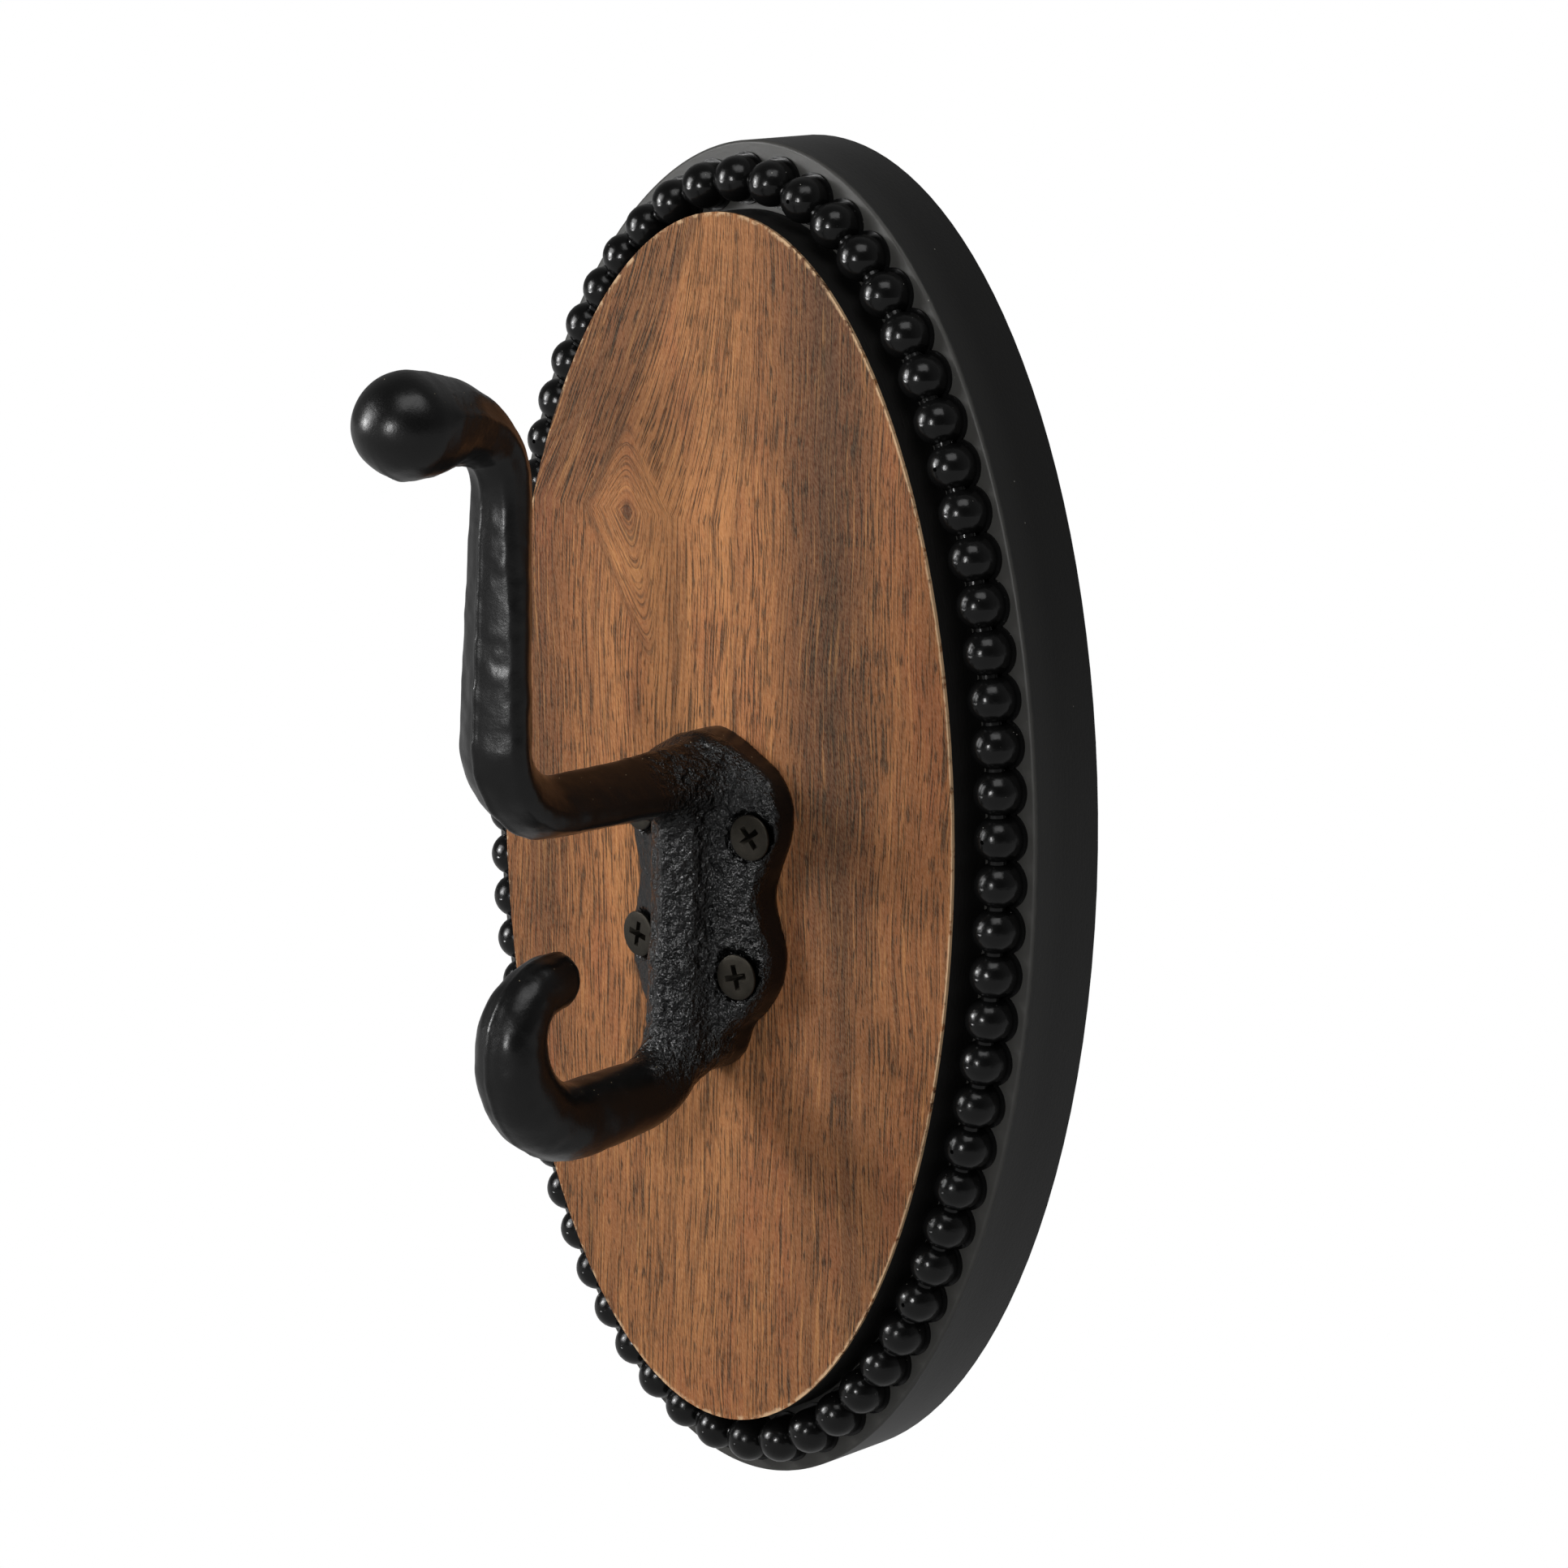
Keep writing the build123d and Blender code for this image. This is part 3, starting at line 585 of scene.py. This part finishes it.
def arm_solid(x, out, up, path, sizes, cap, swell, melt, arris):
    """An arm swept along a path in the middle plane.

    Its section has a low roof on the outer side, short side walls, and a dome on the
    inner side that meets them at an arris. sizes gives, at lengths along the path: half
    width, the heights of the roof, of the side walls and of the dome, and how far the
    widest part of a round section lies below the arris. cap is how far the rounded tip
    goes past the end. Between the two lengths in swell the roof and the walls turn
    round, and between the two in melt the arris does too. arris is the arris's radius.

    A thin ridge runs down the middle of the outer side. Where the section starts to
    swell, a thin seam stands on the arris, and it stops where the arris melts. An arm
    whose arris melts from its root on has no seam."""
    line, length = path
    tangent = np.gradient(line, axis=0)
    tangent /= np.linalg.norm(tangent, axis=1)[:, None]
    normal = np.stack([tangent[:, 1], -tangent[:, 0]], 1)
    grid_out, grid_up = np.meshgrid(out, up, indexing="ij")
    shape = grid_out.shape
    flat = np.stack([grid_out.ravel(), grid_up.ravel()], 1)
    nearest = np.empty(len(flat), int)
    for start in range(0, len(flat), CHUNK):
        block = flat[start : start + CHUNK]
        apart = ((block[:, None, :] - line[None]) ** 2).sum(2)
        nearest[start : start + CHUNK] = apart.argmin(1)
    offset = flat - line[nearest]
    outward = (offset * normal[nearest]).sum(1).reshape(shape)
    along = (offset * tangent[nearest]).sum(1)
    past = np.where(nearest == len(line) - 1, np.maximum(along, 0), 0)
    past = np.where(nearest == 0, np.maximum(-along, 0), past).reshape(shape)
    keys = np.array(sizes, float)
    reached = length[nearest].reshape(shape)
    width, roof, wall, dome, drop = (
        np.interp(reached, keys[:, 0], keys[:, k]) for k in range(1, 6)
    )
    above = outward + (roof + wall + dome) / 2 - dome  # height over the arris

    away = np.abs(x)[:, None, None] + 0 * width[None]
    across = away / width
    outer, inner = roof + wall - drop, dome + drop
    side = np.where(above > drop, (above - drop) / outer, (drop - above) / inner)
    section = (across**2 + side**2) ** (TIP_POWER / 2)
    level = (section + (past / cap) ** TIP_POWER) ** (1 / TIP_POWER) - 1
    round_body = level_distance(level * np.minimum(width, inner))

    # Past the side walls the roof and the dome run on only as far as the cuts need
    run_on = 1.6
    clipped = np.minimum(across, run_on)
    roof_face = level_distance(above - wall - roof * (1 - clipped**ROOF_POWER))
    dome_face = level_distance(-above - dome * (1 - clipped**DOME_POWER))
    sides = rounded_cut(away - width, roof_face, ROOF_ROUNDING)
    crisp_body = np.maximum(sides, past - cap)
    crisp_body = crisp_body + (round_body - crisp_body) * gentle(reached, *swell)
    crisp_body = rounded_cut(crisp_body, dome_face, arris)
    field = crisp_body + (round_body - crisp_body) * gentle(reached + past, *melt)
    ridge = np.exp(-((away / RIDGE_WIDTH) ** 2)) * gentle(above, 0.5, 2.5)
    seam = np.exp(-((above / SEAM_WIDTH) ** 2)) * gentle(reached, swell[0] - 12, swell[0] - 2)
    seam = seam * gentle(reached + past, melt[0] + 6, melt[0] - 5)
    return field - RIDGE_HEIGHT * ridge * gentle(past, cap, 0.2 * cap) - SEAM_HEIGHT * seam


def hashed(i, j, k, seed):
    """A repeatable random number from -1 to 1 for each point of a lattice.

    The large odd numbers only scramble the bits."""
    h = (i * 374761393 + j * 668265263 + k * 2147483647 + seed * 1274126177) & 0xFFFFFFFF
    h = ((h ^ (h >> 13)) * 1274126177) & 0xFFFFFFFF
    h = ((h ^ (h >> 16)) * 2246822519) & 0xFFFFFFFF
    return ((h >> 8) & 0xFFFF) / 32767.5 - 1


def lumps(points, size, seed):
    """Smooth random lumps of about the given size."""
    scaled = points / size
    base = np.floor(scaled).astype(np.int64)
    part = scaled - base
    part = part * part * (3 - 2 * part)
    total = np.zeros(len(points))
    for corner in range(8):
        step = np.array([corner & 1, corner >> 1 & 1, corner >> 2 & 1])
        weight = np.prod(np.where(step, part, 1 - part), axis=1)
        total += weight * hashed(*(base + step).T, seed)
    return total


def gentle(value, low, high):
    """0 at low and 1 at high, with a smooth step between. low may be the larger."""
    t = np.clip((value - low) / (high - low), 0, 1)
    return t * t * (3 - 2 * t)


def prong_path():
    """Centre line of the upper prong: out, up, and out to the knob."""
    root = [(4.0, 11.2), (21.0, 10.8), (55.4, 10.8)]
    tip = [(53.0, 75.6), (66.0, 79.6), (75.8, 80.1)]
    return filleted(root + tip, [30.0, 13.0, 12.3, 12.0])


def curl_path():
    """Centre line of the lower hook: down, out, up and back in."""
    corners = [(9.6, -22.0), (11.1, -44.2), (51.8, -47.4), (52.0, -20.3), (41.0, -20.3)]
    return filleted(corners, [13.0, 15.2, 10.2])


# Length along the arm, half width, heights of the roof, the walls and the dome, and the
# drop from the arris to the widest part of a round section
PRONG_SIZES = [
    (0, 7.4, 2.5, 2.5, 7.6, 0),
    (10, 7.3, 2.5, 2.5, 7.1, 0),
    (22, 7.2, 2.5, 2.5, 6.3, 0),
    (38, 7.2, 2.6, 2.6, 5.8, 0),
    (50, 7.4, 3.3, 2.2, 6.1, 0),
    (58, 7.6, 3.7, 2.1, 6.5, 0),
    (80, 6.5, 2.7, 2.8, 5.9, 0),
    (103, 4.8, 1.5, 5.0, 4.4, 0.5),
    (110, 5.3, 2.2, 4.6, 4.0, 0.5),
    (116, 6.4, 3.4, 4.4, 4.8, 0.5),
    (122, 8.2, 5.0, 4.6, 5.8, 1.0),
    (127, 9.4, 6.4, 4.8, 6.4, 2.0),
    (132, 9.7, 7.4, 4.8, 6.4, 3.5),
]
CURL_SIZES = [
    (0, 5.6, 2.0, 2.4, 4.2, 1),
    (12, 5.8, 2.6, 2.6, 4.6, 1),
    (24, 6.6, 3.2, 3.0, 5.8, 1),
    (36, 7.2, 3.7, 3.2, 6.4, 1),
    (48, 7.3, 4.0, 3.4, 6.6, 1),
    (60, 7.0, 3.8, 3.4, 6.4, 1),
    (72, 6.2, 3.2, 3.2, 5.6, 1),
    (80, 5.3, 2.8, 2.8, 4.8, 1),
    (90, 4.4, 2.6, 2.6, 4.2, 1),
]

# How far the tip goes past the end of the path, the lengths between which the section
# swells and its arris melts, and the arris's radius. The curl is partly round all along.
PRONG_CAP, PRONG_SWELL, PRONG_MELT, PRONG_ARRIS = 9.6, (112, 128), (125, 137), 0.3
CURL_CAP, CURL_SWELL, CURL_MELT, CURL_ARRIS = 3.6, (-40, 60), (-30, 50), 0.8


def screw_spot(name):
    """Middle of a hook screw's head face, and the way that it leans, read from its node."""
    low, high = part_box(name)
    right = low.x + high.x > 0
    radius = (high.z - low.z) / 2
    lean = SCREW_LEAN if right else -SCREW_LEAN
    x = high.x - radius * cos(lean) if right else low.x + radius * cos(lean)
    y = low.y + radius * sin(abs(lean))
    return Vector((x, y, (low.z + high.z) / 2)), lean, radius


HOOK_SCREWS = [
    "hook_screw_upper_right",
    "hook_screw_upper_left",
    "hook_screw_lower_right",
    "hook_screw_lower_left",
]


def casting_field(x, out, up, face):
    """Signed distance to the casting on a grid, before its texture."""
    grid_x = np.abs(x)[:, None, None]
    grid_out = out[None, :, None]
    grid_up = up[None, None, :]
    edge = outline_distance(plate_outline(), x, up)[:, None, :]
    slope = (PLATE_CROWN - PLATE_EDGE) / (PLATE_HALF_WIDTH - RIB_HALF_WIDTH)
    level = PLATE_CROWN - slope * np.maximum(grid_x - RIB_HALF_WIDTH, 0)
    droop = PLATE_DROOP * gentle(grid_up, 6.0, 17.5) * gentle(-edge, 6.0, 0.0)
    roof = (grid_out - level + droop) * cos(atan(slope))
    plate = rounded_cut(np.maximum(edge, -grid_out), roof, PLATE_ROUNDING)

    pitch = (RIB_RIDGE - RIB_SHOULDER) / RIB_HALF_WIDTH
    blunt = 0.5
    peak = RIB_RIDGE - pitch * np.sqrt(grid_x**2 + blunt)
    squeeze = 0.87
    crest = (grid_out - peak) * squeeze
    rib = rounded_cut(grid_x - RIB_HALF_WIDTH, crest, RIB_ROUNDING)
    rib = rounded_cut(rib, RIB_TAIL - grid_up, RIB_TAIL_ROUNDING)
    rib = np.maximum(np.maximum(rib, grid_up - RIB_TOP), -grid_out)

    prong = arm_solid(
        x, out, up, prong_path(), PRONG_SIZES, PRONG_CAP, PRONG_SWELL, PRONG_MELT, PRONG_ARRIS
    )
    curl = arm_solid(
        x, out, up, curl_path(), CURL_SIZES, CURL_CAP, CURL_SWELL, CURL_MELT, CURL_ARRIS
    )
    body = smooth_union(plate, rib, RIB_FILLET)
    body = smooth_union(body, curl, CURL_FILLET)
    body = smooth_union(body, np.maximum(prong, -grid_out), PRONG_FILLET)
    for name in HOOK_SCREWS:
        body = np.maximum(body, -screw_hole(name, x, out, up, face))
    return body


def screw_hole(name, x, out, up, face):
    """Signed distance to the countersunk hole for a hook screw, open at the front."""
    spot, lean, radius = screw_spot(name)
    centre = np.array([spot.x / MM, (face - spot.y) / MM, spot.z / MM])
    dx = x[:, None, None] - centre[0]
    dout = out[None, :, None] - centre[1]
    dup = up[None, None, :] - centre[2]
    height = dout * cos(lean) + dx * sin(lean)
    sideways = dx * cos(lean) - dout * sin(lean)
    away = np.sqrt(sideways**2 + dup**2)
    head = radius / MM + HOLE_ROOM
    flare, squeeze = 0.9, 0.74
    cone = (away - head - (height + 1.2) * flare) * squeeze
    wide = np.maximum(away - head, -height - 1.3)
    return np.minimum(np.minimum(np.maximum(cone, height), away - HOLE_RADIUS), wide)


def pebble_share(points):
    """How rough the casting's face is, from 0 to 1: rough on the plate and the rib, less
    so on the plate's left, and hardly at all on the curl and out along the prong."""
    x, out, up = points.T
    front = gentle(out, 3.0, 6.0) * gentle(out, 24.0, 14.0)
    rising = gentle(up, 20.0, 15.0)
    right = 0.35 + 0.65 * gentle(x, -7.0, -3.0)
    root = gentle(up, -47.0, -38.0)
    return front * rising * right * np.maximum(root, 0.15)


def hook_casting():
    """The whole casting as one closed mesh, with its cast texture in the surface.

    The back stays flat against the veneer."""
    low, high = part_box("hook_casting")
    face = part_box("panel_veneer")[0].y
    pad = 3 * VOXEL
    x = np.arange(low.x / MM - pad, high.x / MM + pad, VOXEL)
    out = np.arange(-pad, (face - low.y) / MM + pad, VOXEL)
    up = np.arange(low.z / MM - pad, high.z / MM + pad, VOXEL)
    field = casting_field(x, out, up, face).astype(np.float32)

    near = np.argwhere(np.abs(field) < BAND)
    points = np.stack([x[near[:, 0]], out[near[:, 1]], up[near[:, 2]]], 1)
    rough = pebble_share(points)
    pebbles, waves = (
        sum(height * lumps(points, size, seed) for height, size, seed in layers)
        for layers in (PEBBLES, WAVES)
    )
    wavy = gentle(points[:, 1], 22.0, 40.0) * gentle(points[:, 2], 82.0, 66.0)
    moved = pebbles * rough + waves * (0.35 + 0.65 * wavy)
    off_wall = gentle(points[:, 1], 0.2, 1.5)
    field[tuple(near.T)] += (moved * off_wall).astype(np.float32)

    volume = openvdb.FloatGrid(BAND)
    volume.copyFromArray(np.clip(field, -BAND, BAND))
    corners, quads = volume.convertToQuads(isovalue=0.0)
    place = np.stack([x[0] + corners[:, 0] * VOXEL, out[0] + corners[:, 1] * VOXEL,
                      up[0] + corners[:, 2] * VOXEL], 1)
    place[:, 1] = np.maximum(place[:, 1], 0)
    mesh = bpy.data.meshes.new("cast_hook")
    metres = np.stack([place[:, 0] * MM, face - place[:, 1] * MM, place[:, 2] * MM], 1)
    mesh.from_pydata(metres.tolist(), [], quads.tolist())
    mark = mesh.attributes.new("pebbled", "FLOAT", "POINT")
    mark.data.foreach_set("value", pebble_share(place).astype(np.float32))
    finish_piece(mesh, "cast_hook", "hook_casting", "hook_iron")


# ------------------------------------------------------------------ the pieces


def finish_piece(mesh, name, node, slot):
    """Makes a mesh into a smooth piece that stands for a CAD node."""
    mesh.validate()
    cleaner = bmesh.new()
    cleaner.from_mesh(mesh)
    bmesh.ops.recalc_face_normals(cleaner, faces=cleaner.faces)
    cleaner.to_mesh(mesh)
    cleaner.free()
    for polygon in mesh.polygons:
        polygon.use_smooth = True
    piece = bpy.data.objects.new(name, mesh)
    bpy.context.scene.collection.objects.link(piece)
    piece.data.materials.append(MATERIALS[slot])
    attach(piece, "root")
    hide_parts(node)
    return piece


# The hook's screws, with plain shanks as in the CAD
SCREW_SIDES = 72
SHARP_EDGE = radians(35)
HOOK_SCREW_SHANK = 2.1 * MM
HOOK_SCREW_LENGTH = 25.0 * MM
HOOK_SCREW_TURNS = (40, 30, 15, 80)  # how far each cross is turned, in degrees


def cross_points(reach, arm):
    """The twelve corners of a cross, anticlockwise."""
    corners = []
    for quarter in range(4):
        c, s = cos(quarter * pi / 2), sin(quarter * pi / 2)
        for px, py in ((arm, arm), (arm, reach), (-arm, reach)):
            corners.append((px * c - py * s, px * s + py * c))
    return corners


def lathe(bm, profile, sides):
    """Turns a profile of (radius, height) about Z. Returns its rings of vertices."""
    rings = []
    for radius, height in profile:
        ring = []
        for k in range(sides):
            angle = 2 * pi * k / sides
            ring.append(bm.verts.new((radius * cos(angle), radius * sin(angle), height)))
        rings.append(ring)
    for a, b in zip(rings, rings[1:]):
        for k in range(sides):
            n = (k + 1) % sides
            bm.faces.new((a[k], a[n], b[n], b[k]))
    return rings


def screw_mesh(name, radius, turn):
    """A countersunk screw with a tapered cross recess, its head face at height 0."""
    bm = bmesh.new()
    shank, length = HOOK_SCREW_SHANK, HOOK_SCREW_LENGTH
    taper = 3.0 * shank
    # From the tip up the shank, round the head's rim and in over its face
    profile = [
        (0.12 * shank, -length),
        (shank, taper - length),
        (shank, -0.55 * MM - (radius - shank) * 1.15),
        (radius * 0.985, -0.50 * MM),
        (radius, -0.42 * MM),
        (radius, -0.16 * MM),
        (radius * 0.975, -0.04 * MM),
        (radius * 0.93, 0.0),
        (radius * 0.70, 0.02 * MM),
    ]
    rings = lathe(bm, profile, SCREW_SIDES)
    bm.faces.new(rings[0][::-1])
    # The recess: its mouth in the face, a soft lip, and sides that lean in to a point
    corners = cross_points(radius * 0.56, radius * 0.13)
    mouth = [bm.verts.new((px, py, 0.02 * MM)) for px, py in corners]
    lip = [bm.verts.new((px * 0.94, py * 0.94, -0.12 * MM)) for px, py in corners]
    deep = [bm.verts.new((px * 0.42, py * 0.42, -1.9 * MM)) for px, py in corners]
    bottom = bm.verts.new((0, 0, -2.4 * MM))
    count = len(corners)
    for k in range(count):
        n = (k + 1) % count
        bm.faces.new((mouth[k], mouth[n], lip[n], lip[k]))
        bm.faces.new((lip[k], lip[n], deep[n], deep[k]))
        bm.faces.new((deep[k], deep[n], bottom))
    bridge_rings(bm, rings[-1], mouth)
    bmesh.ops.rotate(bm, verts=bm.verts, cent=(0, 0, 0), matrix=Matrix.Rotation(turn, 3, "Z"))
    mesh = bpy.data.meshes.new(name)
    bm.to_mesh(mesh)
    bm.free()
    return mesh


def bridge_rings(bm, outer, inner):
    """Fills the flat band between a round ring and a cross with triangles."""

    def angle(v):
        return (np.arctan2(v.co.y, v.co.x) + 2 * pi) % (2 * pi)

    a = sorted(outer, key=angle)
    b = sorted(inner, key=angle)
    i = j = 0
    while i < len(a) or j < len(b):
        next_a = angle(a[i % len(a)]) + (2 * pi if i >= len(a) else 0)
        next_b = angle(b[j % len(b)]) + (2 * pi if j >= len(b) else 0)
        va, vb = a[(i - 1) % len(a)], b[(j - 1) % len(b)]
        if j >= len(b) or (i < len(a) and next_a <= next_b):
            bm.faces.new((va, a[i], vb))
            i += 1
        else:
            bm.faces.new((va, b[j], vb))
            j += 1


def hook_screws():
    """The four cross-head screws that hold the casting."""
    for name, turn in zip(HOOK_SCREWS, HOOK_SCREW_TURNS):
        spot, lean, radius = screw_spot(name)
        mesh = screw_mesh(name + "_detail", radius, radians(turn))
        out = Vector((sin(lean), -cos(lean), 0))
        across = Vector((cos(lean), sin(lean), 0))
        turned = Matrix((across, out.cross(across), out)).transposed().to_4x4()
        mesh.transform(Matrix.Translation(spot) @ turned)
        piece = finish_piece(mesh, name + "_detail", name, "screw_steel")
        piece.data.set_sharp_from_angle(angle=SHARP_EDGE)


def dress_cad_nodes():
    """Gives each CAD node that stays in view its material."""
    finishes = {
        "backing_board": "board_paint",
        "bead_trim": "trim_paint",
        "panel_core": "core_paint",
        "panel_veneer": "veneer",
    }
    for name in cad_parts:
        if name.startswith("trim_brad"):
            finishes[name] = "brad_steel"
        elif name.endswith("hanger_plate"):
            finishes[name] = "hanger_steel"
        elif "hanger_screw" in name:
            finishes[name] = "hanger_screw_steel"
    for name, slot in finishes.items():
        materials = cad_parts[name].data.materials
        materials.clear()
        materials.append(MATERIALS[slot])


# ------------------------------------------------------------ camera and light


def toward(azimuth, elevation):
    """The way out from the plaque at these angles. Azimuth 0 is straight in front."""
    level = cos(elevation)
    return Vector((sin(azimuth) * level, -cos(azimuth) * level, sin(elevation)))


def camera():
    """The camera, turned a little about its own axis."""
    a, r = CAMERA_AZIMUTH, CAMERA_ROLL
    back = toward(a, CAMERA_ELEVATION)
    right = Vector((cos(a), sin(a), 0))
    up = back.cross(right)
    right, up = right * cos(r) + up * sin(r), up * cos(r) - right * sin(r)
    data = bpy.data.cameras.new("camera")
    data.lens = CAMERA_LENS
    data.sensor_width = SENSOR_WIDTH
    made = bpy.data.objects.new("camera", data)
    turned = Matrix((right, up, back)).transposed().to_4x4()
    made.matrix_world = Matrix.Translation(CAMERA_AIM + back * CAMERA_DISTANCE) @ turned
    bpy.context.scene.collection.objects.link(made)
    bpy.context.scene.camera = made


def softbox(name, azimuth, elevation, distance, width, height, power):
    """A soft area light that looks at the middle of the plaque. Angles in degrees."""
    back = toward(radians(azimuth), radians(elevation))
    data = bpy.data.lights.new(name, "AREA")
    data.shape = "RECTANGLE"
    data.size, data.size_y = width, height
    data.energy = power
    lamp = bpy.data.objects.new(name, data)
    lamp.location = back * distance
    lamp.rotation_mode = "QUATERNION"
    lamp.rotation_quaternion = back.to_track_quat("Z", "Y")
    bpy.context.scene.collection.objects.link(lamp)


def surroundings():
    """A white room: white to the eye, and dimmer as a light, most of it from behind."""
    world = bpy.data.worlds.new("white_room")
    bpy.context.scene.world = world
    world.use_nodes = True
    tree = world.node_tree
    tree.nodes.clear()
    way = tree.nodes.new("ShaderNodeTexCoord").outputs["Generated"]
    parts = tree.nodes.new("ShaderNodeSeparateXYZ")
    tree.links.new(way, parts.inputs[0])
    behind = tree.nodes.new("ShaderNodeMapRange")
    tree.links.new(parts.outputs["Y"], behind.inputs["Value"])
    behind.inputs["From Min"].default_value = -0.4
    behind.inputs["From Max"].default_value = 0.9
    behind.inputs["To Min"].default_value = 0.03
    behind.inputs["To Max"].default_value = 0.28
    seen = tree.nodes.new("ShaderNodeLightPath").outputs["Is Camera Ray"]
    strength = tree.nodes.new("ShaderNodeMix")
    strength.data_type = "FLOAT"
    tree.links.new(seen, strength.inputs[0])
    tree.links.new(behind.outputs["Result"], strength.inputs[2])
    strength.inputs[3].default_value = 1.0
    shade = tree.nodes.new("ShaderNodeBackground")
    shade.inputs["Color"].default_value = (1, 1, 1, 1)
    tree.links.new(strength.outputs[0], shade.inputs["Strength"])
    output = tree.nodes.new("ShaderNodeOutputWorld")
    tree.links.new(shade.outputs[0], output.inputs[0])


def floor():
    """A pale floor below the plaque."""
    drop = 0.10
    level = CAD_BOX[0].z - drop
    size = 6.0
    mesh = bpy.data.meshes.new("floor")
    corners = [(size * i, size * j, level) for i, j in ((-1, -1), (1, -1), (1, 1), (-1, 1))]
    mesh.from_pydata(corners, [], [(0, 1, 2, 3)])
    ground = bpy.data.objects.new("floor", mesh)
    bpy.context.scene.collection.objects.link(ground)
    g = Graph("pale_floor")
    seen = g.node("ShaderNodeLightPath").outputs["Is Camera Ray"]
    glow = g.node("ShaderNodeEmission", {"Color": (1, 1, 1, 1)})
    g.put(glow.inputs["Strength"], g.math("MULTIPLY_ADD", seen, 0.55, 0.45))
    output = g.node("ShaderNodeOutputMaterial")
    g.tree.links.new(glow.outputs[0], output.inputs[0])
    ground.data.materials.append(g.material)


MATERIALS = {
    "board_paint": board_paint(),
    "trim_paint": trim_paint(),
    "core_paint": core_paint(),
    "veneer": veneer_wood(),
    "hook_iron": hook_iron(),
    "screw_steel": screw_steel(),
    "brad_steel": brad_steel(),
    "hanger_steel": zinc("hanger_steel", srgb(196, 197, 196)),
    "hanger_screw_steel": zinc("hanger_screw_steel", srgb(205, 200, 184)),
}

camera()
surroundings()
floor()
softbox("left_key", -41, 17, 1.15, 0.50, 0.60, 9.0)
softbox("left_glint", -43, 13, 1.10, 0.12, 0.13, 3.5)
softbox("front_fill", 14, 9, 1.1, 0.12, 0.20, 4.6)
softbox("top_light", 52, 60, 1.1, 0.75, 0.55, 4.0)
dress_cad_nodes()
hook_casting()
hook_screws()

bpy.context.scene.view_settings.view_transform = "Standard"
